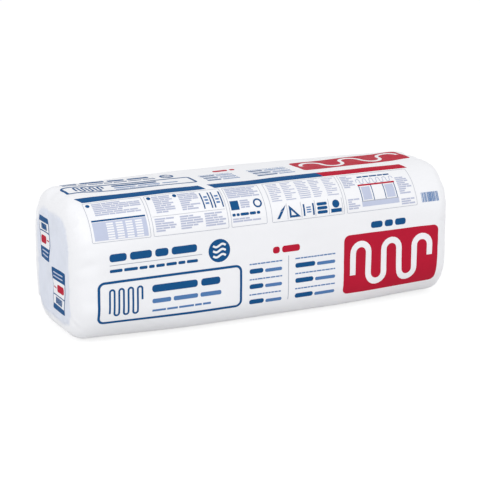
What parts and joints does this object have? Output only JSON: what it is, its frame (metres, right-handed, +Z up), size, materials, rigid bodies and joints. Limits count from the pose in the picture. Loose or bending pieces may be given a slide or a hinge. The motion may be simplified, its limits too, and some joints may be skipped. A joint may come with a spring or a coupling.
{
  "type": "bag of unfaced fiberglass batts",
  "caption": "Tight white film bag of unfaced fibreglass batts, squeezed flat in a stack: a long soft block with rounded edges.",
  "frame": {"origin": "centre of the bag's flat underside, at the bottom centre of its bounding box", "axes": "+X along the batts, the bag's longest side; -Y out of the side that carries the large print; +Z up"},
  "size_m": [1.2222, 0.4094, 0.4106],
  "materials": {
    "film": "satin opaque white polyethylene film, printed in blue, red and pale violet-grey",
    "glass_wool": "matt cream-white glass wool, squeezed in flat layers"
  },
  "bodies": {
    "root": {"film_bag": "film", "batt_01": "glass_wool", "batt_02": "glass_wool", "batt_03": "glass_wool", "batt_04": "glass_wool", "batt_05": "glass_wool", "batt_06": "glass_wool", "batt_07": "glass_wool", "batt_08": "glass_wool", "batt_09": "glass_wool", "batt_10": "glass_wool", "batt_11": "glass_wool"}
  },
  "joints": []
}
